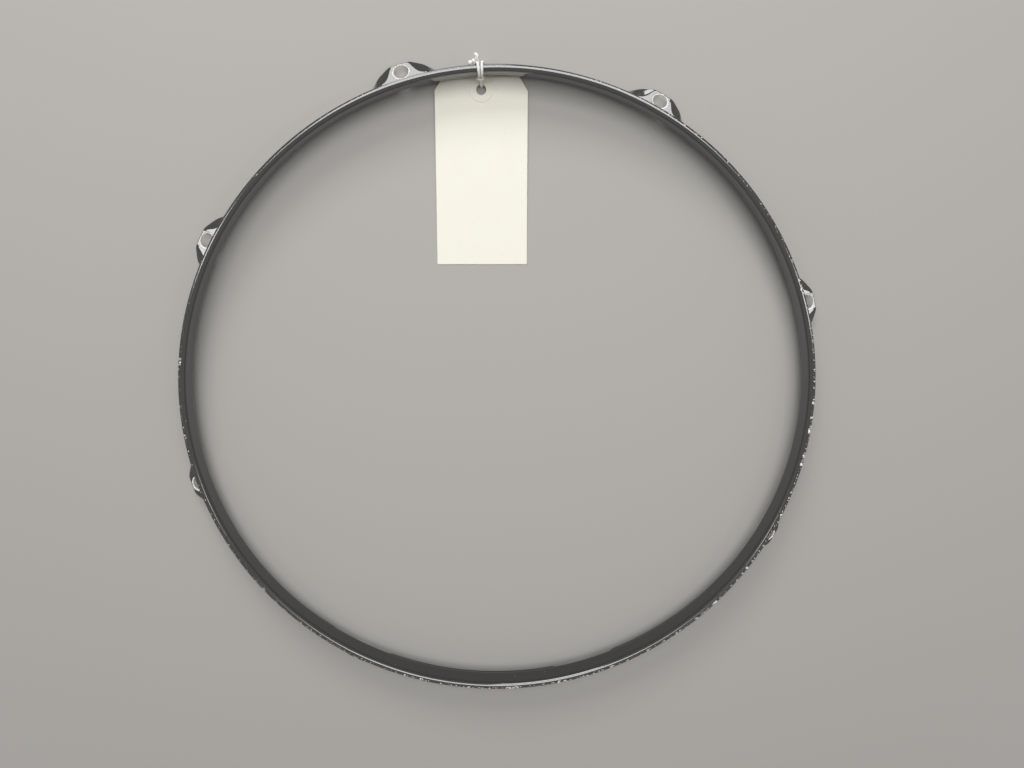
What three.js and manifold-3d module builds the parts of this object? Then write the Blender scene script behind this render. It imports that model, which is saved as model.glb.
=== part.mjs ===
// Triple flanged drum hoop with a tied-on tag, in millimetres.
// The hoop lies flat with its playing lip up. The origin is on its axis, in the plane that it lies on.
// Three pressed flanges make one strip of steel: the lip, the seat that bears on the drum head, and the
// skirt round the head's rim. Eight ears are pressed out of the skirt for the tension rods.

import * as THREE from 'three';
import { mergeVertices } from 'three/addons/utils/BufferGeometryUtils.js';
import Module from 'manifold-3d';

const wasm = await Module();
wasm.setup();

// Driving dimensions of the pressed hoop. The lip's and the recess's widths run out from the wall's inner
// face, and the recess under the seat takes the drum head's own hoop.
const innerRadius = 178.5;
const sheet = 1.6;
const hoopHeight = 25;
const lipWidth = 3.7;
const lipBend = 1.5;
const recessDepth = 9.8;
const recessWidth = 5;
const seatBend = 1.6;
const shoulderBend = 2.2;
const skirtFlare = 0.9;

// Driving dimensions of the ears and their rod holes. The reach runs out from the skirt's edge.
const earCount = 8;
const earPhase = 16.3;
const earReach = 7.7;
const earHeight = 6;
const earTipWidth = 11;
const earBaseWidth = 45;
const rodHoleLength = 8.4;
const rodHoleWidth = 6.6;
const rodHoleFromTip = 4.1;
const creaseFromRodHole = 4.9;
const creaseRound = 0.8;

// Driving dimensions of the tag, its glued patches and its string
const tagWidth = 52;
const tagLength = 104;
const tagThickness = 0.35;
const cornerCutWidth = 4.9;
const cornerCutLength = 8;
const tagHole = 5.5;
const tagHoleFromTop = 7.4;
const patchDiameter = 13.4;
const patchThickness = 0.25;
const stringDiameter = 1.5;
const pinchedString = 0.5;
const clearance = 0.3;

// Where the tag hangs: the string's azimuth, and the tag's hole measured from the hoop's inner wall
const stringAzimuth = 93;
const tagYaw = -3.4;
const tagHoleInset = 5.85;
const tagHoleHeight = 3;

// The string's knots: a hitch against the inner wall, and a reef knot behind the lip
const hitchRadius = 1.4;
const hitchLength = 3.8;
const hitchHeight = 15.4;
const knotWidth = 4.4;
const knotDepth = 3.4;
const knotHeight = 4;
const knotPlace = [-2.3, 5.9, 22.7];

// Facets: columns between two ears, steps of round shapes, sides of the string
const columnsBetweenEars = 6;
const holeSteps = 18;
const patchSteps = 32;
const stringSides = 8;
const knotSteps = 12;
const capSteps = 3;
const overrun = 2;

// Levels and centre lines that follow from the driving dimensions
const half = sheet / 2;
const edgeLevel = pinchedString + clearance;
const lipTop = edgeLevel + hoopHeight;
const lipLevel = lipTop - half;
const seatLevel = edgeLevel + recessDepth + half;
const plateLevel = edgeLevel + earHeight;
const wallRadius = innerRadius + half;
const lipRadius = innerRadius + lipWidth;
const skirtRadius = innerRadius + recessWidth + half;
const edgeRadius = skirtRadius + skirtFlare;
const tipRadius = edgeRadius + earReach;
const rodCircleRadius = tipRadius - rodHoleFromTip;
const plateStart = rodCircleRadius - creaseFromRodHole;

const radians = THREE.MathUtils.degToRad;
const mix = THREE.MathUtils.lerp;
const smooth = THREE.MathUtils.smoothstep;

// A point of a section: r from the hoop's axis, z above the resting plane.
const at = (r, z) => new THREE.Vector2(r, z);
const blend = (a, b, share) => a.clone().lerp(b, share);
const onArc = (centre, radius, degrees) =>
  at(centre.x + radius * Math.cos(radians(degrees)), centre.y + radius * Math.sin(radians(degrees)));

// Centre line of the strip's upper part, the same all round: lip, its bend and the wall's foot.
function upperLine() {
  const bend = at(wallRadius + lipBend, lipLevel - lipBend);
  const corner = [90, 135, 180].map((degrees) => onArc(bend, lipBend, degrees));
  return [at(lipRadius, lipLevel), ...corner];
}

// Centre line of the lower part between ears: seat bend, flat seat, shoulder bend and flared skirt.
function skirtLine() {
  const seat = at(wallRadius + seatBend, seatLevel + seatBend);
  const shoulder = at(skirtRadius - shoulderBend, seatLevel - shoulderBend);
  const skirtTop = onArc(shoulder, shoulderBend, 0);
  const edge = at(edgeRadius, edgeLevel);
  return [
    onArc(seat, seatBend, 180), onArc(seat, seatBend, 225), onArc(seat, seatBend, 270),
    onArc(shoulder, shoulderBend, 90), onArc(shoulder, shoulderBend, 45), skirtTop,
    blend(skirtTop, edge, 0.5), edge,
  ];
}

// How far down the slope an ear's two crease points lie
const creaseShares = [0.66, 0.94];

// Centre line of the lower part at the middle of an ear: a slope off the wall's foot, then a level plate.
function earLine(plateEnd, edge) {
  const seat = at(wallRadius + seatBend, seatLevel + seatBend);
  const slopeTop = onArc(seat, seatBend, 225);
  const crease = at(plateStart, plateLevel);
  const [upperShare, lowerShare] = creaseShares;
  return [
    onArc(seat, seatBend, 180), onArc(seat, seatBend, 202.5), slopeTop,
    blend(slopeTop, crease, upperShare), blend(slopeTop, crease, lowerShare),
    at(plateStart + creaseRound, plateLevel), at(plateEnd, plateLevel), edge,
  ];
}

// The flank runs from the tip's corner, share 0, to the skirt, share 1. Its cut edge goes straight out to
// the skirt and down to its edge, while the level plate draws in along a concave curve.
const plateEndShare = 0.58;
const plateCurve = 2;
const earHoldShare = 0.35;
const tipMargin = 0.35;

function lowerLine(flankShare) {
  const along = Math.min(flankShare / plateEndShare, 1);
  const plateEnd = mix(tipRadius - tipMargin, plateStart + 2 * creaseRound, 1 - (1 - along) ** plateCurve);
  const edge = at(mix(tipRadius, edgeRadius, flankShare), mix(plateLevel, edgeLevel, flankShare));
  const share = smooth(flankShare, earHoldShare, 1);
  const ear = earLine(plateEnd, edge);
  return skirtLine().map((point, i) => blend(ear[i], point, share));
}

// A section is the centre line drawn out to the sheet's thickness on both sides, mitred at each point.
function section(line) {
  const along = line.slice(1).map((p, i) => p.clone().sub(line[i]).normalize());
  const normals = along.map((step) => at(-step.y, step.x));
  const side = (sign) => line.map((p, i) => {
    const before = normals[Math.max(i - 1, 0)];
    const after = normals[Math.min(i, normals.length - 1)];
    const sum = before.clone().add(after);
    return p.clone().addScaledVector(sum, sign * half * 2 / sum.lengthSq());
  });
  return [...side(-1), ...side(1).reverse()];
}

// The columns of one ear's pitch: the angle from the ear's middle, and how far down the flank it is.
const flankShares = [0, 0.15, 0.32, 0.52, 0.76, 1];
const tipAngle = THREE.MathUtils.radToDeg(earTipWidth / 2 / tipRadius);
const baseAngle = THREE.MathUtils.radToDeg(earBaseWidth / 2 / edgeRadius);

function pitchColumns() {
  const flank = flankShares.map((share) => ({ angle: mix(tipAngle, baseAngle, share), share }));
  const pitch = 360 / earCount;
  const gap = pitch - 2 * baseAngle;
  const between = Array.from({ length: columnsBetweenEars - 1 }, (_, i) => (
    { angle: baseAngle + gap * (i + 1) / columnsBetweenEars, share: 1 }));
  const before = flank.slice().reverse().map(({ angle, share }) => ({ angle: -angle, share }));
  return [...before, { angle: 0, share: 0 }, ...flank, ...between];
}

// Rings of points joined into one closed surface, each four points split along their shorter diagonal.
// A closed loop joins its last ring to its first, and an open run has a flat cap on each end.
function skin(rings, closed) {
  const count = rings[0].length;
  const points = rings.flat();
  const positions = points.flatMap((p) => [p.x, p.y, p.z]);
  const index = [];
  const spans = closed ? rings.length : rings.length - 1;
  for (let i = 0; i < spans; i += 1) {
    const a = i * count;
    const b = ((i + 1) % rings.length) * count;
    for (let k = 0; k < count; k += 1) {
      const n = (k + 1) % count;
      if (points[a + k].distanceTo(points[b + n]) < points[b + k].distanceTo(points[a + n])) {
        index.push(a + k, b + k, b + n, a + k, b + n, a + n);
      } else {
        index.push(a + k, b + k, a + n, b + k, b + n, a + n);
      }
    }
  }
  if (!closed) {
    const last = (rings.length - 1) * count;
    for (let k = 1; k < count - 1; k += 1) {
      index.push(0, k, k + 1);
      index.push(last, last + k + 1, last + k);
    }
  }
  const geometry = new THREE.BufferGeometry();
  geometry.setAttribute('position', new THREE.Float32BufferAttribute(positions, 3));
  geometry.setIndex(index);
  return geometry;
}

// Solids for cutting: three.js geometry in, three.js geometry out.
function toSolid(geometry) {
  const bare = geometry.clone();
  bare.deleteAttribute('normal');
  bare.deleteAttribute('uv');
  const merged = mergeVertices(bare);
  return new wasm.Manifold(new wasm.Mesh({
    numProp: 3,
    vertProperties: new Float32Array(merged.attributes.position.array),
    triVerts: new Uint32Array(merged.index.array),
  }));
}

function fromSolid(solid) {
  const { vertProperties, triVerts } = solid.getMesh();
  const geometry = new THREE.BufferGeometry();
  geometry.setAttribute('position', new THREE.BufferAttribute(vertProperties, 3));
  geometry.setIndex(new THREE.BufferAttribute(triVerts, 1));
  return geometry;
}

function cut(geometry, cutters) {
  return fromSolid(cutters.reduce((solid, cutter) => solid.subtract(toSolid(cutter)), toSolid(geometry)));
}

// An oval rod hole through one ear's plate, longer along the rim
function rodHole(azimuth) {
  const depth = sheet + 2 * overrun;
  const hole = new THREE.CylinderGeometry(rodHoleWidth / 2, rodHoleWidth / 2, depth, holeSteps);
  hole.rotateX(Math.PI / 2);
  hole.scale(1, rodHoleLength / rodHoleWidth, 1);
  hole.translate(rodCircleRadius, 0, plateLevel);
  return hole.rotateZ(radians(azimuth));
}

function hoopGeometry() {
  const upper = upperLine();
  const rings = [];
  const holes = [];
  for (let ear = 0; ear < earCount; ear += 1) {
    const middle = earPhase + ear * 360 / earCount;
    holes.push(rodHole(middle));
    for (const { angle, share } of pitchColumns()) {
      const turn = radians(middle + angle);
      rings.push(section([...upper, ...lowerLine(share)]).map((p) => (
        new THREE.Vector3(p.x * Math.cos(turn), p.x * Math.sin(turn), p.y))));
    }
  }
  return cut(skin(rings, true), holes);
}

// The tag's outline: a card with both top corners cut. The origin is the middle of its hole.
function cardShape() {
  const top = tagHoleFromTop;
  const right = tagWidth / 2;
  const shape = new THREE.Shape([
    at(-right, top - tagLength), at(right, top - tagLength), at(right, top - cornerCutLength),
    at(right - cornerCutWidth, top), at(cornerCutWidth - right, top), at(-right, top - cornerCutLength),
  ]);
  shape.holes.push(roundHole());
  return shape;
}

const roundHole = () => new THREE.Path().absarc(0, 0, tagHole / 2, 0, 2 * Math.PI, true);

function patchShape() {
  const shape = new THREE.Shape().absarc(0, 0, patchDiameter / 2, 0, 2 * Math.PI, false);
  shape.holes.push(roundHole());
  return shape;
}

// A flat sheet cut to a shape, centred on the given height
function sheetOf(shape, thickness, height) {
  const geometry = new THREE.ExtrudeGeometry(shape, {
    depth: thickness, bevelEnabled: false, curveSegments: patchSteps / 2,
  });
  return geometry.translate(0, 0, height - thickness / 2);
}

// String. Its routes are points picked by hand: x along the rim, y outwards from the inner wall, z up.
// A fourth number is the share of the full thickness that is left where the string is pinched flat.
const turnRoute = [
  [0.92, -1.05, 17.15], [0.92, -1.05, 20], [0.92, -1.05, 23.5], [0.92, -0.6, 25.2], [0.93, 0.6, 26.4],
  [0.98, 2.3, 26.85], [1.1, 3.6, 26.85], [1.25, 4.5, 26.5], [1.35, 4.9, 25.5], [1.4, 5.0, 23.9],
  [1.5, 6.0, 17], [1.6, 7.5, 10.4], [1.7, 7.75, 8.5], [1.8, 8.2, 4.5], [2.0, 8.55, 2.2],
  [2.0, 8.5, 1.15, 0.78], [2.0, 7.8, 0.25, 0.34], [2.0, 5.6, 0.25, 0.34], [2.0, 4.95, 0.95, 0.78],
  [2.0, 4.5, 2], [2.0, 2.9, 5.2], [1.75, 0.8, 9.3], [1.2, -0.95, 12.15], [1.0, -1.05, 13.65],
];
const leaderRoute = [
  [0, -2.65, 13.7], [0, -2.7, 9.5], [0, -2.9, 6.6], [0, -3.6, 5], [0, -4.15, 4.05], [0, -4.2, 3],
  [0, -4.2, 2], [0, -3.45, 1.1], [0, -1.4, 1.15], [0, 0.8, 1.3], [0, 2.2, 2.1], [0, 2.7, 3.5],
  [0, 2.0, 5.2], [0, 0.6, 7.6], [0, -0.5, 9.2],
];
const longTailRoute = [
  [-1.9, 6.6, 25.2], [-1.4, 7.3, 26.2], [-1.2, 8.2, 26.9], [-1.5, 8.9, 27.2], [-2.5, 8.8, 27.1],
];
const shortTailRoute = [[-4.9, 6, 22.9], [-5.5, 5.7, 23.4], [-6.2, 5.2, 24]];

// A string laid along a route. Where it is pinched it spreads along the rim, so its section keeps its area.
function cord(route, extra = 0) {
  const points = route.map(([x, y, z]) => new THREE.Vector3(x, y, z));
  const rim = new THREE.Vector3(1, 0, 0);
  const radius = stringDiameter / 2 + extra;
  const rings = points.map((point, i) => {
    const ahead = points[Math.min(i + 1, points.length - 1)];
    const behind = points[Math.max(i - 1, 0)];
    const forward = ahead.clone().sub(behind).normalize();
    const out = rim.clone().cross(forward).normalize();
    const across = out.clone().cross(forward);
    const share = route[i][3] ?? 1;
    return Array.from({ length: stringSides }, (_, k) => {
      const turn = 2 * Math.PI * (k + 0.5) / stringSides;
      return point.clone()
        .addScaledVector(out, radius * share * Math.cos(turn))
        .addScaledVector(across, radius / Math.sqrt(share) * Math.sin(turn));
    });
  });
  return skin(rings, false);
}

const mirrored = (route) => route.map(([x, ...rest]) => [-x, ...rest]);

// The knot grips the left turn of the string, so it is cut out round it.
function knotGeometry() {
  const ball = new THREE.SphereGeometry(1, knotSteps, knotSteps / 2);
  ball.scale(knotWidth / 2, knotDepth / 2, knotHeight / 2);
  ball.translate(...knotPlace);
  return cut(ball, [cord(mirrored(turnRoute), clearance)]);
}

function hitchGeometry() {
  const barrel = new THREE.CapsuleGeometry(hitchRadius, hitchLength - 2 * hitchRadius, capSteps, knotSteps);
  barrel.rotateZ(Math.PI / 2);
  return barrel.translate(0, -hitchRadius - clearance, hitchHeight);
}

const finishes = {
  enamel: { color: 0x0c0c0d, roughness: 0.25, metalness: 0.3 },
  card: { color: 0xd9d8d0, roughness: 0.85, metalness: 0 },
  board: { color: 0xe3e1da, roughness: 0.8, metalness: 0 },
  cotton: { color: 0xe8e8e4, roughness: 0.95, metalness: 0 },
};

function piece(name, geometry, finish) {
  const mesh = new THREE.Mesh(geometry, new THREE.MeshStandardMaterial(finishes[finish]));
  mesh.name = name;
  return mesh;
}

// The tag lies along its own plane: its far end touches down, and the hole's end is held up by the string.
function tagGroup() {
  const group = new THREE.Group();
  const reach = tagLength - tagHoleFromTop;
  const patchHeight = tagThickness / 2 + clearance + patchThickness / 2;
  group.add(piece('tag_card', sheetOf(cardShape(), tagThickness, 0), 'card'));
  group.add(piece('tag_patch_front', sheetOf(patchShape(), patchThickness, patchHeight), 'board'));
  group.add(piece('tag_patch_back', sheetOf(patchShape(), patchThickness, -patchHeight), 'board'));
  group.position.set(0, -tagHoleInset, tagHoleHeight);
  group.rotation.order = 'ZXY';
  group.rotation.z = radians(tagYaw);
  group.rotation.x = Math.asin((tagHoleHeight - tagThickness) / reach);
  return group;
}

// Everything tied on, built beside the inner wall and then turned to its place on the rim
function tiedGroup() {
  const atWall = new THREE.Group();
  atWall.position.y = innerRadius;
  atWall.add(piece('string_turn_left', cord(mirrored(turnRoute)), 'cotton'));
  atWall.add(piece('string_turn_right', cord(turnRoute), 'cotton'));
  atWall.add(piece('string_knot', knotGeometry(), 'cotton'));
  atWall.add(piece('string_tail_long', cord(longTailRoute), 'cotton'));
  atWall.add(piece('string_tail_short', cord(shortTailRoute), 'cotton'));
  atWall.add(piece('string_hitch', hitchGeometry(), 'cotton'));
  atWall.add(piece('string_leader', cord(leaderRoute), 'cotton'));
  atWall.add(tagGroup());
  const turned = new THREE.Group();
  turned.rotation.z = radians(stringAzimuth - 90);
  turned.add(atWall);
  return turned;
}

const drumHoop = new THREE.Group();
drumHoop.add(piece('hoop', hoopGeometry(), 'enamel'));
drumHoop.add(tiedGroup());

export default drumHoop;
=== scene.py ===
"""A pressed steel drum hoop with a tied-on card tag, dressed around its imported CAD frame.

Metres, z up. The hoop lies on the floor with its playing lip up, and its axis is the z axis.
"""
import math

import bpy
import numpy as np
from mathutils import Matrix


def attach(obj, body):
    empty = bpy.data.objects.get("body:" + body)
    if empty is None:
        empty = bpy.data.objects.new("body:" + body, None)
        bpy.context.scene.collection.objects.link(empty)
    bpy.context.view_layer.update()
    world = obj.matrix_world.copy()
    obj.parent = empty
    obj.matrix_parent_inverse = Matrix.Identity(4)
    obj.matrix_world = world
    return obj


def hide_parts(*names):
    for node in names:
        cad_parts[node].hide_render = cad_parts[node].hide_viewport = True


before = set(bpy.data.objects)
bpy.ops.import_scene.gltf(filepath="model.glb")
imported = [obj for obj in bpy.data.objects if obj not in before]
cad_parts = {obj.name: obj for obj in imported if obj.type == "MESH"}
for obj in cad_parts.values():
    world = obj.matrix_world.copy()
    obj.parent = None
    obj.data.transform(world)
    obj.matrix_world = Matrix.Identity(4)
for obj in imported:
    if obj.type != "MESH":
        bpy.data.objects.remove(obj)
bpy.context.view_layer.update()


# The camera. It looks down on the playing side from where the photograph's camera stood: off the hoop's axis
# on the tag's side, and tipped back eleven degrees towards the middle, so that the whole rim is in view.
camera_lens = bpy.data.cameras.new("camera")
camera_lens.sensor_width = 36
camera_lens.lens = 29.18
camera_lens.clip_start = 0.01
camera = bpy.data.objects.new("camera", camera_lens)
camera.location = (-0.00717, 0.10215, 0.48986)
camera.rotation_euler = [math.radians(angle) for angle in (-11.2969, -1.7559, -0.3052)]
bpy.context.scene.collection.objects.link(camera)
bpy.context.scene.camera = camera


# The string. One length of white cotton twine, three plies twisted together, 1.5 mm thick. It is doubled
# through the tag's hole, hitched against the wall, and both ends go over the lip, down outside, under the
# skirt and back up to the hitch. Behind the lip they are knotted. It is pinched flat under the skirt's edge.
twine_radius = 0.00075
twine_lay = 0.0046
twine_plies = 3
ply_depth = 0.15
ply_roundness = 0.7
twine_sides = 24
twine_step = 0.0003
first_end_ring = 0.12
resting_level = 0.00003
wall_radius = 0.1785
string_azimuth = math.radians(93)


def turned(a, b, angle):
    """A pair of coordinates, turned by an angle from the first axis towards the second."""
    return a * math.cos(angle) - b * math.sin(angle), a * math.sin(angle) + b * math.cos(angle)


def on_rim(points):
    """Places beside the wall, turned to the string's azimuth: x along the rim, y outwards, z up."""
    x, y = turned(points[..., 0], points[..., 1] + wall_radius, string_azimuth - math.pi / 2)
    return np.stack([x, y, points[..., 2]], -1)


def follow(route, step):
    """Points at even steps on a smooth curve through a route. Between two of its points the curve is the
    cubic that takes their places, and at each the mean of the directions before and after, the nearer one
    weighing more. A fourth number, the share of the thickness left by a pinch, is carried the same way."""
    route = np.array([[*point, 1.0][:4] for point in route])
    chord = np.linalg.norm(np.diff(route[:, :3], axis=0), axis=1)
    reached = np.concatenate([[0], np.cumsum(chord)])
    slope = np.diff(route, axis=0) / chord[:, None]
    before, after = chord[:-1, None], chord[1:, None]
    middle = (slope[:-1] * after + slope[1:] * before) / (before + after)
    tangent = np.vstack([slope[:1], middle, slope[-1:]])
    at = np.linspace(0, reached[-1], int(reached[-1] / step) + 2)
    k = np.clip(np.searchsorted(reached, at, side="right") - 1, 0, len(chord) - 1)
    h, u = chord[k][:, None], ((at - reached[k]) / chord[k])[:, None]
    return (
        (2 * u**3 - 3 * u**2 + 1) * route[k] + (u**3 - 2 * u**2 + u) * h * tangent[k]
        + (3 * u**2 - 2 * u**3) * route[k + 1] + (u**3 - u**2) * h * tangent[k + 1]
    )


def unit(vectors):
    """Each vector with its length made one."""
    return vectors / np.linalg.norm(vectors, axis=-1, keepdims=True)


def put_mesh(name, points, faces, material):
    """A smooth mesh in one material, from its points and its groups of faces with like corners."""
    mesh = bpy.data.meshes.new(name)
    mesh.from_pydata(points.tolist(), [], [face for group in faces for face in group.tolist()])
    mesh.polygons.foreach_set("use_smooth", [True] * len(mesh.polygons))
    mesh.materials.append(material)
    piece = bpy.data.objects.new(name, mesh)
    bpy.context.scene.collection.objects.link(piece)
    return piece


def twine(name, line, reference, closed=False, loosening=0.0):
    """Twisted twine along a line. At each step round the line the radius is the twine's, less a dip at the
    three grooves between its plies, and the grooves turn once in every lay. A pinch thins it along the
    reference direction and widens it across, and where it bears on the floor it is flat. Its two ends are
    rounded in, or join up if it is closed. A loosening is the share by which it is thicker at its last
    end."""
    points, share = line[:, :3], line[:, 3:]
    ahead = np.roll(points, -1, 0) - np.roll(points, 1, 0) if closed else np.gradient(points, axis=0)
    forward = unit(ahead)
    out = unit(reference - np.sum(reference * forward, -1, keepdims=True) * forward)
    across = np.cross(out, forward)
    gone = np.linalg.norm(np.diff(points, axis=0), axis=1)
    along = np.concatenate([[0], np.cumsum(gone)])[:, None]
    turn = np.linspace(0, 2 * np.pi, twine_sides, endpoint=False)[None, :]
    strand = np.abs(np.cos(twine_plies / 2 * (turn - 2 * np.pi * along / twine_lay)))
    loosened = 1 + loosening * np.sqrt(along / along[-1])
    radius = twine_radius * (1 - ply_depth * (1 - strand**ply_roundness)) * loosened
    if not closed:
        inset = np.minimum(along, along[-1] - along) / twine_radius + first_end_ring
        radius = radius * np.sqrt(1 - np.clip(1 - inset, 0, 1) ** 2)
    rings = (
        points[:, None] + (radius * share * np.cos(turn))[..., None] * out[:, None]
        + (radius / np.sqrt(share) * np.sin(turn))[..., None] * across[:, None]
    )
    count = len(points)
    spans = np.arange(count if closed else count - 1)[:, None]
    side = np.arange(twine_sides)[None, :]
    a, b = spans * twine_sides, (spans + 1) % count * twine_sides
    n = (side + 1) % twine_sides
    faces = [np.stack([a + side, a + n, b + n, b + side], -1).reshape(-1, 4)]
    verts = rings.reshape(-1, 3)
    strands = strand.ravel()
    if not closed:
        side, n = side[0], n[0]
        first, last = np.full_like(side, len(verts)), np.full_like(side, len(verts) + 1)
        end = (count - 1) * twine_sides
        faces += [np.stack([first, n, side], -1), np.stack([last, end + side, end + n], -1)]
        verts = np.vstack([verts, points[:1], points[-1:]])
        strands = np.append(strands, [1, 1])
    verts[:, 2] = np.maximum(verts[:, 2], resting_level)
    piece = put_mesh(name, on_rim(verts), faces, cotton.material)
    piece.data.attributes.new("ply", "FLOAT", "POINT").data.foreach_set("value", strands.astype(np.float32))
    return piece


class Finish:
    """A material and its nodes."""

    def __init__(self, name):
        self.material = bpy.data.materials.new(name)
        self.material.use_nodes = True
        self.tree = self.material.node_tree
        self.shader = self.tree.nodes["Principled BSDF"]

    def join(self, value, socket):
        """An output is wired to the socket, and a plain value is set on it."""
        if isinstance(value, bpy.types.NodeSocket):
            self.tree.links.new(value, socket)
        else:
            socket.default_value = value

    def add(self, kind, inputs=(), **settings):
        """A new node with its settings, its inputs wired or set."""
        node = self.tree.nodes.new(kind)
        for key, value in settings.items():
            setattr(node, key, value)
        for key, value in dict(inputs).items():
            self.join(value, node.inputs[key])
        return node

    def dress(self, inputs):
        """The shader's inputs, each wired or set."""
        for key, value in inputs.items():
            self.join(value, self.shader.inputs[key])

    def coordinates(self):
        """The place on the object, in metres."""
        return self.add("ShaderNodeTexCoord").outputs["Object"]

    def parts(self, vector):
        """The x, y and z of a vector."""
        outputs = self.add("ShaderNodeSeparateXYZ", {"Vector": vector}).outputs
        return outputs[0], outputs[1], outputs[2]

    def noise(self, scale, detail=2.0, rough=0.5, vector=None):
        """Cloudy noise, with this many clouds to the metre."""
        inputs = {"Scale": scale, "Detail": detail, "Roughness": rough}
        inputs["Vector"] = vector or self.coordinates()
        return self.add("ShaderNodeTexNoise", inputs).outputs["Fac"]

    def specks(self, scale, colour_part, chosen, size):
        """Specks in a few cells of a pattern: a smooth step over each cell's own random number chooses the
        cells, and one over the distance from a cell's middle draws the speck's edge."""
        cells = self.add("ShaderNodeTexVoronoi", {"Vector": self.coordinates(), "Scale": scale})
        own = self.add("ShaderNodeSeparateColor", {"Color": cells.outputs["Color"]}).outputs[colour_part]
        return self.times(self.ramp(own, *chosen), self.ramp(cells.outputs["Distance"], *size, 1.0, 0.0))

    def ramp(self, value, low, high, to_low=0.0, to_high=1.0):
        """A smooth step between two values, as the input goes from low to high."""
        inputs = {"Value": value, 1: low, 2: high, 3: to_low, 4: to_high}
        return self.add("ShaderNodeMapRange", inputs, interpolation_type="SMOOTHSTEP").outputs[0]

    def maths(self, operation, a, b=0.0):
        """The sum, the greater, the sine or the like of one or two numbers."""
        return self.add("ShaderNodeMath", {0: a, 1: b}, operation=operation).outputs[0]

    def times(self, a, b):
        """The product of two numbers."""
        return self.maths("MULTIPLY", a, b)

    def distance(self, a, b):
        """The root of the sum of two squares."""
        return self.maths("SQRT", self.maths("ADD", self.times(a, a), self.times(b, b)))

    def blend(self, share, a, b):
        """Two colours, the first where the share is 0 and the second where it is 1."""
        node = self.tree.nodes.new("ShaderNodeMix")
        node.data_type = "RGBA"
        for key, value in (("Factor_Float", share), ("A_Color", a), ("B_Color", b)):
            self.join(value, next(s for s in node.inputs if s.identifier == key))
        return next(s for s in node.outputs if s.identifier == "Result_Color")

    def bump(self, height, strength, depth, normal=None):
        """Relief of a height between 0 and 1, over a depth in metres, on top of another relief if given."""
        inputs = {"Height": height, "Strength": strength, "Distance": depth}
        if normal:
            inputs["Normal"] = normal
        return self.add("ShaderNodeBump", inputs).outputs["Normal"]


# Washed white cotton: fibres, and plies with painted shade in the grooves between them
groove_shade_tone = (0.6, 0.58, 0.53, 1)
dull_thread, white_thread = (0.87, 0.86, 0.825, 1), (0.95, 0.945, 0.925, 1)
cotton = Finish("cotton_twine")
fibre = cotton.noise(5200, detail=3)
on_ply = cotton.ramp(cotton.add("ShaderNodeAttribute", attribute_name="ply").outputs["Fac"], 0.0, 0.5)
cotton.dress({
    "Base Color": cotton.blend(on_ply, groove_shade_tone, cotton.blend(fibre, dull_thread, white_thread)),
    "Roughness": 0.92,
    "Sheen Weight": 0.25,
    "Specular IOR Level": 0.2,
    "Normal": cotton.bump(fibre, 0.5, 0.0002),
})

# The routes of its stretches, from the places beside the wall. A fourth number is a pinch.
turn_route = [
    [0.00078, -0.00105, 0.01715], [0.00078, -0.00105, 0.02], [0.0008, -0.00105, 0.0235],
    [0.00084, -0.0006, 0.0252], [0.0009, 0.0006, 0.0264], [0.00098, 0.0023, 0.02685],
    [0.0011, 0.0036, 0.02685], [0.00125, 0.0045, 0.0265], [0.00135, 0.0049, 0.0255],
    [0.0014, 0.005, 0.0239], [0.0015, 0.006, 0.017], [0.0016, 0.0075, 0.0104],
    [0.0017, 0.00775, 0.0085], [0.0018, 0.0082, 0.0045], [0.002, 0.00855, 0.0022],
    [0.002, 0.0085, 0.00115, 0.78], [0.002, 0.0078, 0.00025, 0.34], [0.002, 0.0056, 0.00025, 0.34],
    [0.002, 0.00495, 0.00095, 0.78], [0.002, 0.0045, 0.002], [0.002, 0.0029, 0.0052],
    [0.00175, 0.0008, 0.0093], [0.0012, -0.00095, 0.01215], [0.001, -0.00105, 0.01365],
]
leader_route = [
    [0, -0.00265, 0.0137], [0.0001, -0.0027, 0.0095], [0.0002, -0.0028, 0.0066],
    [0.0003, -0.00335, 0.005], [0.0003, -0.00388, 0.00405], [0.0003, -0.00392, 0.003],
    [0.0003, -0.00388, 0.002], [0.00025, -0.0033, 0.0011], [0.0001, -0.0014, 0.00115],
    [0, 0.0008, 0.0013], [-0.0001, 0.0022, 0.0021], [-0.0002, 0.0027, 0.0035], [-0.0003, 0.002, 0.0052],
    [-0.0003, 0.0006, 0.0076], [-0.0003, -0.0005, 0.0092], [-0.0002, -0.0012, 0.0115],
    [0, -0.0016, 0.0141],
]
long_tail_route = [
    [-0.002, 0.006, 0.0253], [-0.0017, 0.0067, 0.0261], [-0.0014, 0.0073, 0.0266],
    [-0.00125, 0.0081, 0.02688], [-0.0016, 0.00862, 0.02694], [-0.0027, 0.0085, 0.02685],
]
short_tail_route = [[-0.0045, 0.006, 0.0226], [-0.005, 0.0055, 0.0233], [-0.0054, 0.0051, 0.0242]]

along_rim = np.array([1.0, 0.0, 0.0])
upright = np.array([0.0, 0.0, 1.0])
up_and_outwards = np.array([0.0, 1.0, 1.0])
right_line = follow(turn_route, twine_step)
left_line = right_line * [-1, 1, 1, 1]


def pressed_side(line):
    """The direction in which a turn is pinched: across both the rim and the string."""
    return np.cross(along_rim, unit(np.gradient(line[:, :3], axis=0)))


for name, line, node in (
    ("twine_turn_right", right_line, "string_turn_right"),
    ("twine_turn_left", left_line, "string_turn_left"),
):
    piece = twine(name, line, pressed_side(line))
    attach(piece, "string")
    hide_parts(node)

# The two ends of the string, cut short, with their plies coming loose
for name, route, loosening, node in (
    ("twine_tail_long", long_tail_route, 0.26, "string_tail_long"),
    ("twine_tail_short", short_tail_route, 0.75, "string_tail_short"),
):
    line = follow(route, twine_step)
    piece = twine(name, line, np.broadcast_to(up_and_outwards, line[:, :3].shape), loosening=loosening)
    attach(piece, "string")
    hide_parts(node)

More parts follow.
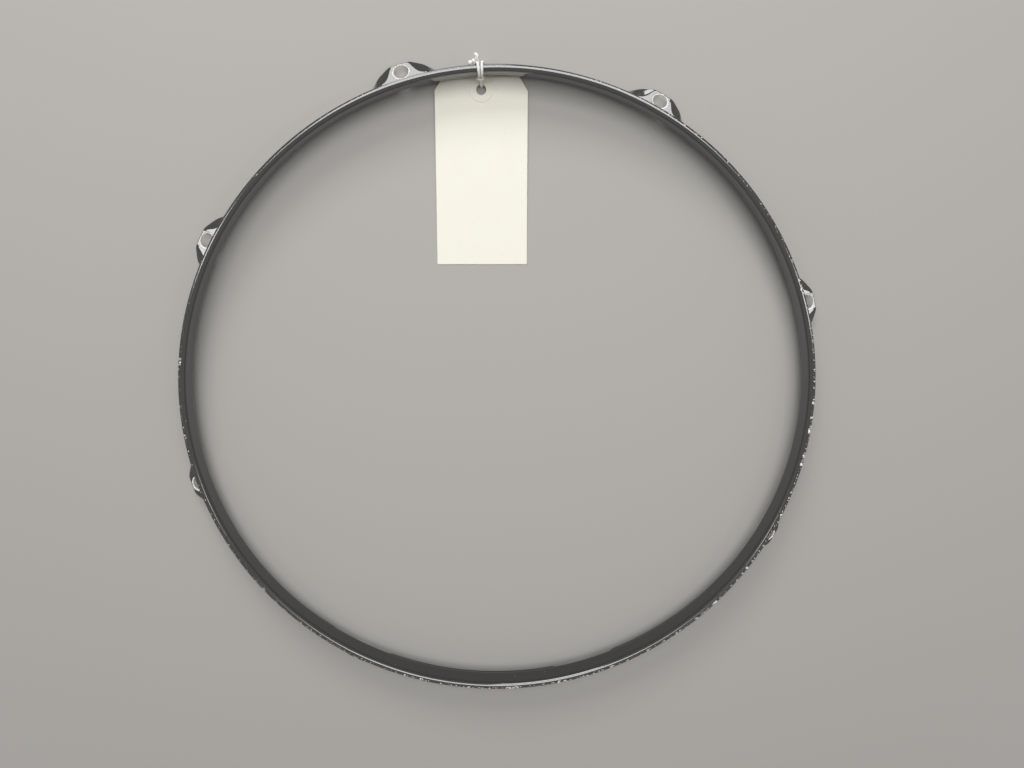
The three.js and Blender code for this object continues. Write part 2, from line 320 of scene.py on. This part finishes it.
# The hitch: two turns of the string round the others, drawn tight against the wall
hitch_centre = np.array([0, -0.0017, 0.0154])
hitch_half_width, hitch_half_depth, hitch_half_rise = 0.00118, 0.00068, 0.00069
hitch_turns = 2.2
hitch_rings = 110
way = np.linspace(-math.pi * hitch_turns, math.pi * hitch_turns, hitch_rings)
hitch_rise = hitch_half_rise * way / math.pi / hitch_turns
hitch_line = hitch_centre + np.stack(
    [hitch_half_width * np.sin(way), -hitch_half_depth * np.cos(way), hitch_rise], -1
)
hitch = twine("twine_hitch", np.column_stack([hitch_line, np.ones(len(way))]),
              np.broadcast_to(upright, hitch_line.shape))
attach(hitch, "string")
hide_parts("string_hitch")

# The knot behind the lip: its loops wind three times through and twice round, like a trefoil drawn tight
knot_centre = np.array([-0.0023, 0.0059, 0.0227])
knot_ring, knot_tube = 0.00086, 0.00068
knot_depth, knot_height = 1.2, 0.93
knot_rings = 120
way = np.linspace(0, 2 * math.pi, knot_rings, endpoint=False)
through, about = 3 * way, 2 * way
knot_reach = knot_ring + knot_tube * np.cos(through)
knot_line = knot_centre + np.stack([
    knot_reach * np.cos(about),
    knot_depth * knot_tube * np.sin(through),
    knot_height * knot_reach * np.sin(about),
], -1)
knot_side = np.stack(
    [np.cos(through) * np.cos(about), np.sin(through), np.cos(through) * np.sin(about)], -1
)
knot = twine("twine_knot", np.column_stack([knot_line, np.ones(len(way))]), knot_side, closed=True)
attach(knot, "string")
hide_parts("string_knot")

# The leader: the loop of the string that runs from the hitch through the tag's hole and back
leader_line = follow(leader_route, twine_step)
leader = twine("twine_leader", leader_line, pressed_side(leader_line))
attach(leader, "tag")
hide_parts("string_leader")


# The hoop. One strip of 1.6 mm steel, rolled to a ring, welded, and pressed to three flanges: the lip, the
# seat that bears on the drum head, and the skirt. Eight ears are pressed out of the skirt, each with an oval
# hole for a tension rod. It is sprayed with black enamel, which is chipped along the lip.
sheet = 0.0016

# The section, along the sheet's middle: distances from the axis, heights, and bends by centre and radius
lip_flat_end = np.array([0.1812, 0.025])
lip_droop, lip_droop_bend = 28, 0.00132
lip_bend_centre, lip_bend = np.array([0.1808, 0.0235]), 0.0015
seat_centre, seat_bend = np.array([0.1809, 0.013]), 0.0016
shoulder_centre, shoulder_bend = np.array([0.1821, 0.0092]), 0.0022
skirt_edge = np.array([0.1852, 0.0008])

# The ears: a crease between slope and plate, a tip, and flanks that run down to the skirt
crease = np.array([0.1839, 0.0068])
crease_round = 0.0008
tip_radius = 0.19295
tip_margin = 0.00036
plate_end_share = 0.8
plate_curve = 5
ear_hold_share = 0.35
slope_round_share = 0.94
flank_ease = 0.09
ear_count = 8
ear_phase = math.radians(16.3)
ear_pitch = 2 * math.pi / ear_count
tip_half_width, base_half_width = 0.0055, 0.0225
tip_angle = tip_half_width / tip_radius
base_angle = base_half_width / skirt_edge[0]
rod_circle = 0.1888
rod_hole_half = np.array([0.0033, 0.0042])

# The edges, eased by the enamel: how far in the sheet starts to thin, and how much comes off each face. The
# rows lie at shares of that way, 1 where it starts and 0 at the edge.
lip_easing = [0.00025, 0.00022]
cut_easing = [0.0003, 0.00035]
hole_easing = [0.0005, 0.0003]
hole_easing_limit = 0.85
easing = np.array([1, 0.68, 0.35, 0.12, 0])

# The grid's columns and rows
plate_columns, flank_columns, free_columns = 20, 24, 20
droop_steps = [0.7, 1.0]
lip_rows, bend_rows, wall_rows = 3, 9, 7
lower_rows = [3, 3, 4, 3, 3]
plate_rows = 12


def on_arc(centre, radius, degrees):
    """Points of a bend: its centre, and a radius turned to each angle."""
    turn = np.radians(degrees)[..., None]
    return centre + radius * np.concatenate([np.cos(turn), np.sin(turn)], -1)


def mix(a, b, share):
    """A value on the straight way from a to b."""
    return a + (b - a) * share


def stretch(a, b, share):
    """Points of a straight run between two points, at each share of the way."""
    return mix(a, b, share[..., None])


def pieces_of(steps, *parts):
    """One line of several parts, each over its own span of the steps and ending where the next begins."""
    chosen = [(steps >= start) & (steps <= stop) for start, stop, _ in parts]
    line = np.zeros((*steps.shape, 2))
    for mask, (start, stop, part) in zip(chosen, parts):
        line[mask] = part((steps[mask] - start) / (stop - start))
    return line


def skirt_line(steps):
    """The sheet's middle between ears: seat bend, flat seat, shoulder bend, skirt flared to its edge."""
    seat_end = on_arc(seat_centre, seat_bend, np.array(270.0))
    shoulder_top = on_arc(shoulder_centre, shoulder_bend, np.array(90.0))
    skirt_top = on_arc(shoulder_centre, shoulder_bend, np.array(0.0))
    return pieces_of(
        steps,
        (0, 2, lambda s: on_arc(seat_centre, seat_bend, 180 + 90 * s)),
        (2, 3, lambda s: stretch(seat_end, shoulder_top, s)),
        (3, 5, lambda s: on_arc(shoulder_centre, shoulder_bend, 90 - 90 * s)),
        (5, 7, lambda s: stretch(skirt_top, skirt_edge, s)),
    )


def ear_line(steps, plate_end, edge):
    """The sheet's middle at an ear: a slope off the wall's foot, a rounded crease, then a level plate."""
    slope_top = on_arc(seat_centre, seat_bend, np.array(225.0))
    low = mix(slope_top, crease, slope_round_share)
    plate = crease + [crease_round, 0]
    return pieces_of(
        steps,
        (0, 2, lambda s: on_arc(seat_centre, seat_bend, 180 + 45 * s)),
        (2, 4, lambda s: stretch(slope_top, low, s)),
        (4, 5, lambda s: ((1 - s) ** 2)[:, None] * low + (2 * s * (1 - s))[:, None] * crease
         + (s**2)[:, None] * plate),
        (5, 6, lambda s: stretch(plate, plate_end, s)),
        (6, 7, lambda s: stretch(plate_end, edge, s)),
    )


def eased_thickness(depth):
    """The share of the sheet's thickness at each step of an eased edge: a quarter ellipse on both faces."""
    return 1 - 2 * depth / sheet * (1 - np.sqrt(1 - (1 - easing) ** 2))


def rounded_share(angle):
    """How far down its flank an ear is: 0 over the tip, 1 on the skirt, straight between, eased corners."""
    ease = flank_ease
    x = (np.abs(angle) - tip_angle) / (base_angle - tip_angle)
    start = np.clip(x + ease, 0, 2 * ease) ** 2 / (4 * ease) - ease
    end = np.clip(1 + ease - x, 0, 2 * ease) ** 2 / (4 * ease) - ease
    return np.where(x < ease, start + ease, np.where(x > 1 - ease, 1 - end - ease, x))


def columns_of_pitch():
    """Angles from an ear's middle over one pitch: the plate, a flank, the free skirt, the next flank."""
    flank = np.linspace(tip_angle, base_angle, flank_columns + 1)
    free = np.linspace(base_angle, ear_pitch - base_angle, free_columns + 1)
    plate = np.linspace(-tip_angle, tip_angle, plate_columns + 1)
    return np.concatenate([plate[:-1], flank[:-1], free[:-1], ear_pitch - flank[:0:-1]])


def hoop_pitch():
    """One ear's pitch of the sheet's middle: each column is the shared lip and wall, then the lower line,
    blended from the ear's to the skirt's by a smooth step of the flank's share. The rows close up at both
    edges, where the sheet is eased. With it come the thickness share of each point and the plate's row."""
    angles = columns_of_pitch()
    near = np.where(angles > ear_pitch / 2, angles - ear_pitch, angles)
    share = rounded_share(near)
    eased_droop = lip_easing[0] * easing[::-1] / (lip_droop_bend * math.radians(lip_droop))
    droop = np.append(eased_droop, droop_steps)
    upper = np.vstack([
        on_arc(lip_flat_end - [0, lip_droop_bend], lip_droop_bend, 90 - lip_droop * (1 - droop)),
        stretch(lip_flat_end, lip_bend_centre + [0, lip_bend], np.linspace(0, 1, lip_rows))[1:-1],
        on_arc(lip_bend_centre, lip_bend, np.linspace(90, 180, bend_rows)),
        stretch(lip_bend_centre - [lip_bend, 0], seat_centre - [seat_bend, 0],
                np.linspace(0, 1, wall_rows))[1:-1],
    ])
    runs = [np.linspace(i, i + 1, n, endpoint=False) for i, n in enumerate([*lower_rows, plate_rows])]
    steps = np.concatenate([*runs, [6.0, 7.0]])
    along = np.clip(share / plate_end_share, 0, 1)
    plate_end = mix(tip_radius - tip_margin, crease[0] + 2 * crease_round, 1 - (1 - along) ** plate_curve)
    edges = stretch(np.array([tip_radius, crease[1]]), skirt_edge, share)
    held = np.clip((share - ear_hold_share) / (1 - ear_hold_share), 0, 1)
    held = held**2 * (3 - 2 * held)
    skirt = skirt_line(steps)
    lower = np.stack([
        mix(ear_line(steps, np.array([end, crease[1]]), edge), skirt, hold)
        for end, edge, hold in zip(plate_end, edges, held)
    ])
    edge = lower[:, -1:]
    inwards = unit(lower[:, -2:-1] - edge)
    lower = np.concatenate([lower[:, :-1], edge + inwards * cut_easing[0] * easing[:, None]], 1)
    section = np.concatenate([np.broadcast_to(upper, (len(angles), *upper.shape)), lower], 1)
    thickness = np.ones(section.shape[1])
    thickness[:len(easing)] = eased_thickness(lip_easing[1])[::-1]
    thickness[-len(easing):] = eased_thickness(cut_easing[1])
    radius, height = section[..., 0], section[..., 1]
    turn = angles[:, None]
    pitch = np.stack([radius * np.cos(turn), radius * np.sin(turn), height], -1)
    first_plate_row = len(upper) + sum(lower_rows)
    return pitch, np.broadcast_to(thickness, pitch.shape[:2]), first_plate_row


def hoop_mesh():
    """The whole ring of pitches, and the thickness share of each of its points. On each plate the grid's
    block is replaced by rings that draw in from the block's border to the oval rod hole, which is eased."""
    pitch, thickness, row_0 = hoop_pitch()
    columns, rows = pitch.shape[:2]
    row_1 = row_0 + plate_rows
    c, r = np.arange(plate_columns), np.arange(plate_rows)
    border = np.concatenate([
        np.stack([c, np.full_like(c, row_0)], -1),
        np.stack([np.full_like(r, plate_columns), row_0 + r], -1),
        np.stack([plate_columns - c, np.full_like(c, row_1)], -1),
        np.stack([np.zeros_like(r), row_1 - r], -1),
    ])
    frame_points = pitch[border[:, 0], border[:, 1]]
    middle = np.array([rod_circle, 0, crease[1]])
    off_middle = frame_points - middle
    turn = np.arctan2(off_middle[:, 1] / rod_hole_half[1], off_middle[:, 0] / rod_hole_half[0])
    oval = np.stack([rod_hole_half[0] * np.cos(turn), rod_hole_half[1] * np.sin(turn), 0 * turn], -1)
    hole = middle + oval
    gap = np.linalg.norm(frame_points - hole, axis=-1)
    eased = np.minimum(hole_easing[0], hole_easing_limit * gap) / gap
    inner = mix(hole, frame_points, (easing[:, None] * eased)[..., None])
    inner_thickness = np.broadcast_to(eased_thickness(hole_easing[1])[:, None], inner.shape[:2])

    turns = ear_phase + ear_pitch * np.arange(ear_count)
    spin = np.stack([np.cos(turns), -np.sin(turns), np.sin(turns), np.cos(turns)], -1).reshape(-1, 2, 2)

    def all_round(points):
        """The points of one pitch, turned about the axis to each ear's place."""
        flat = np.einsum("eij,...j->e...i", spin, points[..., :2])
        level = np.broadcast_to(points[..., 2:], (*flat.shape[:-1], 1))
        return np.concatenate([flat, level], -1)

    grid = all_round(pitch).reshape(-1, rows, 3)
    rings = all_round(inner)
    total = len(grid)
    col, row = np.meshgrid(np.arange(total), np.arange(rows - 1), indexing="ij")
    in_block = (col % columns < plate_columns) & (row >= row_0) & (row < row_1)
    col, row = col[~in_block], row[~in_block]
    nxt = (col + 1) % total
    quads = np.stack([col * rows + row, nxt * rows + row, nxt * rows + row + 1, col * rows + row + 1], -1)
    count = len(border)
    ears = np.arange(ear_count)[:, None]
    outer = ((ears * columns + border[:, 0]) % total) * rows + border[:, 1]
    base = total * rows + ears[..., None] * rings.shape[1] * count
    inner_ids = base + (np.arange(rings.shape[1]) * count)[None, :, None] + np.arange(count)
    loops = np.concatenate([outer[:, None], inner_ids], 1)
    a, b = loops[:, :-1], loops[:, 1:]
    round_hole = np.stack([a, np.roll(a, -1, -1), np.roll(b, -1, -1), b], -1).reshape(-1, 4)
    faces = np.concatenate([quads, round_hole])
    points = np.concatenate([grid.reshape(-1, 3), rings.reshape(-1, 3)])
    shares = np.concatenate([np.tile(part.ravel(), ear_count) for part in (thickness, inner_thickness)])
    used, faces = np.unique(faces, return_inverse=True)
    return points[used], faces.reshape(-1, 4), shares[used]


# Black enamel: glossy with a faint orange peel, hazed in patches, with dust, fine scuffs along the lip, and
# chips along the lip's crest that show bright steel with a little rust.
enamel = Finish("black_enamel")
x, y, z = enamel.parts(enamel.coordinates())
from_axis = enamel.distance(x, y)
azimuth = enamel.maths("ARCTAN2", y, x)

# Nearness to the lip's crest, where the enamel is knocked off. There are most knocks on the near right.
crest_radius, crest_height = 0.18135, 0.0258
most_knocked = math.radians(-50)
crest = enamel.distance(enamel.maths("SUBTRACT", from_axis, crest_radius),
                        enamel.maths("SUBTRACT", z, crest_height))
knocks = enamel.noise(950, detail=4, rough=0.62)
near_right = enamel.maths("COSINE", enamel.maths("SUBTRACT", azimuth, most_knocked))
knocks = enamel.maths("ADD", knocks, enamel.times(near_right, 0.04))
chip_fine = enamel.times(enamel.ramp(knocks, 0.61, 0.635), enamel.ramp(crest, 0.0004, 0.0006, 1.0, 0.0))

# The knocks that show plainly, by the azimuth and the half length of each in degrees
big_knocks = [
    (-6.3, 1.0), (-4.0, 0.3), (-11.4, 0.4), (-13.0, 0.4), (-1.2, 0.3), (20.0, 0.4), (21.7, 0.3),
    (172.3, 0.8), (-174.0, 0.4), (-88.6, 1.1), (-87.3, 0.5), (-106.0, 0.5), (-68.4, 0.4), (-79.0, 0.4),
    (-44.6, 0.6), (-35.5, 0.3), (-141.5, 0.3),
]
knock_core = 0.4
knocked = 0.0
for middle, half_length in big_knocks:
    off = enamel.maths("ABSOLUTE", enamel.maths("SUBTRACT", azimuth, math.radians(middle)))
    half = math.radians(half_length)
    knocked = enamel.maths("MAXIMUM", knocked, enamel.ramp(off, half * knock_core, half, 1.0, 0.0))
ragged = enamel.noise(1300, detail=3, rough=0.6)
chip_big = enamel.times(enamel.times(knocked, enamel.ramp(ragged, 0.46, 0.52)),
                        enamel.ramp(crest, 0.0006, 0.0009, 1.0, 0.0))

# The rims of the rod holes, rubbed bare by the rods and without rust, and painted bright all round as a
# stand-in
# for the highlight on their rounded edges: the distance from each hole's middle is taken in shares of the
# hole's size
pitches = enamel.maths("DIVIDE", enamel.maths("SUBTRACT", azimuth, ear_phase), ear_pitch)
off_ear = enamel.maths("SUBTRACT", pitches, enamel.maths("ROUND", pitches))
hole_out = enamel.maths("DIVIDE", enamel.maths("SUBTRACT", from_axis, rod_circle), float(rod_hole_half[0]))
hole_along = enamel.times(off_ear, ear_pitch * rod_circle / float(rod_hole_half[1]))
rim_reach = enamel.maths("ADD", enamel.distance(hole_out, hole_along), enamel.times(ragged, 0.3))
bare_rim_and_highlight = enamel.ramp(rim_reach, 1.27, 1.35, 1.0, 0.0)
# The chips and the rod holes' rims together: bare steel, and on the rims also a painted highlight
chips_and_rim_highlight = enamel.maths("MAXIMUM", enamel.maths("MAXIMUM", chip_fine, chip_big), bare_rim_and_highlight)

# Scuffs run along the rim: the noise is stretched about three hundred times that way
scuff_along, scuff_across = 0.9, 1600.0
stretched = enamel.add("ShaderNodeCombineXYZ", {
    "X": enamel.times(azimuth, scuff_along),
    "Y": enamel.times(from_axis, scuff_across),
    "Z": enamel.times(z, scuff_across),
}).outputs[0]
scuffs = enamel.ramp(enamel.noise(7, detail=5, rough=0.7, vector=stretched), 0.55, 0.72)
rubbed = enamel.times(scuffs, enamel.ramp(z, 0.0249, 0.0257))

dust = enamel.specks(380.0, 0, (0.935, 0.94), (0.06, 0.14))
rust_at = enamel.times(enamel.ramp(enamel.noise(700, detail=3), 0.52, 0.64), 0.7)
rust_at = enamel.times(rust_at, enamel.maths("SUBTRACT", 1.0, bare_rim_and_highlight))

deep_black, hazed_black = (0.0055, 0.0055, 0.0057, 1), (0.011, 0.0108, 0.0104, 1)
scuffed_tone, dust_tone = (0.11, 0.108, 0.1, 1), (0.42, 0.4, 0.36, 1)
# Bright steel for the chips; on the rod holes' rims the same tone is also a painted highlight
steel_and_highlight_tone, rust_tone = (0.92, 0.9, 0.84, 1), (0.52, 0.33, 0.2, 1)
haze = enamel.noise(45, detail=5, rough=0.6)
black = enamel.blend(haze, deep_black, hazed_black)
black = enamel.blend(enamel.times(rubbed, 0.5), black, scuffed_tone)
black = enamel.blend(enamel.times(dust, 0.75), black, dust_tone)
dullness = enamel.ramp(haze, 0.3, 0.7, 0.045, 0.1)
for marks, more in ((rubbed, 0.16), (dust, 0.4), (chips_and_rim_highlight, 0.45)):
    dullness = enamel.maths("ADD", dullness, enamel.times(marks, more))
peel = enamel.bump(enamel.noise(520, detail=2), 0.03, 0.0004)
enamel.dress({
    "Base Color": enamel.blend(chips_and_rim_highlight, black, enamel.blend(rust_at, steel_and_highlight_tone, rust_tone)),
    "Roughness": dullness,
    "IOR": 1.8,
    "Normal": enamel.bump(enamel.maths("SUBTRACT", 1.0, chips_and_rim_highlight), 0.5, 0.00012, peel),
})

points, faces, shares = hoop_mesh()
hoop = put_mesh("hoop_pressing", points, [faces], enamel.material)
group = hoop.vertex_groups.new(name="thickness")
for share in np.unique(shares):
    group.add(np.flatnonzero(shares == share).tolist(), float(share), "REPLACE")
wall = hoop.modifiers.new("sheet", "SOLIDIFY")
wall.thickness = sheet
wall.offset = 0
wall.use_even_offset = True
wall.vertex_group = group.name
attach(hoop, "hoop")
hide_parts("hoop")


# The tag's card: cream pulp board, die-cut with both top corners off and one hole, kept flat by its
# stiffness. It hangs on the leader, and its foot rests on the floor.
board = Finish("pulp_board")
grey_pulp, cream_pulp = (0.83, 0.81, 0.705, 1), (0.92, 0.9, 0.8, 1)
cloud_tone, fleck_tone = (0.85, 0.825, 0.73, 1), (0.45, 0.40, 0.30, 1)
pulp = board.noise(1500, detail=4, rough=0.6)
clouds = board.ramp(board.noise(60, detail=3), 0.3, 0.75, 0.0, 0.35)
flecks = board.specks(700.0, 1, (0.965, 0.97), (0.1, 0.25))
board_tone = board.blend(clouds, board.blend(pulp, grey_pulp, cream_pulp), cloud_tone)
board.dress({
    "Base Color": board.blend(board.times(flecks, 0.35), board_tone, fleck_tone),
    "Roughness": 0.82,
    "Specular IOR Level": 0.3,
    "Normal": board.bump(pulp, 0.16, 0.0002),
})
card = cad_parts["tag_card"]
card.data.materials.clear()
card.data.materials.append(board.material)


# The two patches: rings of pale board, punched, glued to the card's faces round its hole, and pressed down
# at their outer edges.
patch_outer, patch_inner = 0.0067, 0.00275
patch_face, patch_waver = 0.000725, 0.00004
patch_steps = 72
card_thickness, card_length, hole_from_top = 0.00035, 0.104, 0.0074
hole_place = np.array([0.0, -0.00585, 0.003])
tag_yaw = math.radians(-3.4)
tag_slant = math.asin((hole_place[2] - card_thickness) / (card_length - hole_from_top))


def on_tag(points):
    """Places on the tag, its hole's middle as origin: slanted about x, turned about z, beside the wall."""
    y, z = turned(points[..., 1], points[..., 2], tag_slant)
    x, y = turned(points[..., 0], y, tag_yaw)
    return on_rim(np.stack([x, y, z], -1) + hole_place)


def patch_mesh(side):
    """A ring turned from its profile: up from the card at the hole, over the face, which thins and wavers
    slightly towards the outer edge, and down to the card again."""
    profile = np.array([
        [0.0, 0.0], [0.0, 0.8], [0.008, 0.97], [0.03, 1.0], [0.3, 1.0], [0.6, 0.98], [0.85, 0.93],
        [0.96, 0.85], [0.99, 0.72], [1.0, 0.5], [1.0, 0.0],
    ])
    turn = np.linspace(0, 2 * np.pi, patch_steps, endpoint=False)[:, None]
    radius = mix(patch_inner, patch_outer, profile[:, 0])
    radius = radius + patch_waver * profile[:, 0] * np.sin(5 * turn + 1) * np.sin(3 * turn)
    height = side * mix(card_thickness / 2, patch_face, profile[:, 1]) + 0 * turn
    rings = np.stack([radius * np.cos(turn), radius * np.sin(turn), height], -1)
    rows = len(profile)
    i, j = np.meshgrid(np.arange(patch_steps), np.arange(rows), indexing="ij")
    ni, nj = (i + 1) % patch_steps, (j + 1) % rows
    quads = np.stack([i * rows + j, i * rows + nj, ni * rows + nj, ni * rows + j], -1).reshape(-1, 4)
    return on_tag(rings.reshape(-1, 3)), quads if side > 0 else quads[:, ::-1]


patch_board = Finish("patch_board")
grey_grain, pale_grain = (0.83, 0.8, 0.7, 1), (0.93, 0.9, 0.8, 1)
grain = patch_board.noise(1900, detail=4, rough=0.65)
patch_board.dress({
    "Base Color": patch_board.blend(grain, grey_grain, pale_grain),
    "Roughness": 0.88,
    "Specular IOR Level": 0.25,
    "Normal": patch_board.bump(grain, 0.3, 0.0002),
})
for name, side, node in (("patch_front", 1, "tag_patch_front"), ("patch_back", -1, "tag_patch_back")):
    points, quads = patch_mesh(side)
    patch = put_mesh(name, points, [quads], patch_board.material)
    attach(patch, "tag")
    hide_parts(node)


# The studio: a plain pale floor, pale surroundings, and soft lamps. A low one on the far side casts the
# rim's shadow on the tag, a broad one is overhead, and a weak one is above each side. The level faces and
# the lip's bend mirror them.
surroundings = (0.72, 0.715, 0.7, 1)
floor_half = 4.0
fade_start, fade_end = 0.3, 1.5
floor_tone = (0.43, 0.417, 0.395, 1)
pale_floor = Finish("pale_floor")
pale_floor.dress({"Base Color": floor_tone, "Roughness": 0.9, "Specular IOR Level": 0.1})

# Far from the hoop the floor passes into the pale surroundings
x, y, _ = pale_floor.parts(pale_floor.coordinates())
rays = pale_floor.add("ShaderNodeLightPath").outputs
seen_or_mirrored = pale_floor.maths("MAXIMUM", rays["Is Camera Ray"], rays["Is Glossy Ray"])
far_off = pale_floor.ramp(pale_floor.distance(x, y), fade_start, fade_end)
merged = pale_floor.add("ShaderNodeMixShader", {
    "Fac": pale_floor.times(far_off, seen_or_mirrored),
    1: pale_floor.shader.outputs[0],
    2: pale_floor.add("ShaderNodeEmission", {"Color": surroundings}).outputs[0],
})
pale_floor.join(merged.outputs[0], pale_floor.tree.nodes["Material Output"].inputs["Surface"])
floor_corners = floor_half * np.array([[-1, -1, 0], [1, -1, 0], [1, 1, 0], [-1, 1, 0]])
floor = put_mesh("floor", floor_corners, [np.arange(4)[None, :]], pale_floor.material)

# The surroundings light the hoop weakly and evenly, and are seen and mirrored in their own tone
world = bpy.data.worlds.new("studio")
bpy.context.scene.world = world
world.use_nodes = True
tree = world.node_tree
around = tree.nodes["Background"]
around.inputs["Color"].default_value = (1.0, 0.99, 0.97, 1)
around.inputs["Strength"].default_value = 0.22
seen = tree.nodes.new("ShaderNodeBackground")
seen.inputs["Color"].default_value = surroundings
rays = tree.nodes.new("ShaderNodeLightPath")
either = tree.nodes.new("ShaderNodeMath")
either.operation = "MAXIMUM"
choice = tree.nodes.new("ShaderNodeMixShader")
for output, socket in (
    (rays.outputs["Is Camera Ray"], either.inputs[0]),
    (rays.outputs["Is Glossy Ray"], either.inputs[1]),
    (either.outputs[0], choice.inputs["Fac"]),
    (around.outputs[0], choice.inputs[1]),
    (seen.outputs[0], choice.inputs[2]),
    (choice.outputs[0], tree.nodes["World Output"].inputs["Surface"]),
):
    tree.links.new(output, socket)


def soft_lamp(name, place, width, depth, power):
    """A flat rectangular lamp that faces the hoop's middle."""
    lamp = bpy.data.objects.new(name, bpy.data.lights.new(name, "AREA"))
    lamp.data.shape = "RECTANGLE"
    lamp.data.size, lamp.data.size_y = width, depth
    lamp.data.energy = power
    lamp.location = place
    lamp.rotation_euler = (-lamp.location).to_track_quat("-Z", "Y").to_euler()
    bpy.context.scene.collection.objects.link(lamp)


soft_lamp("far_lamp", (-0.2, 1.1, 0.86), 0.52, 0.56, 7.0)
soft_lamp("ceiling_lamp", (0.04, 0.42, 1.44), 0.9, 0.76, 13.6)
soft_lamp("left_lamp", (-0.64, 0.05, 1.5), 0.15, 0.26, 0.95)
soft_lamp("right_lamp", (0.75, -0.09, 1.5), 0.15, 0.26, 0.95)
bpy.context.scene.view_settings.view_transform = "Standard"
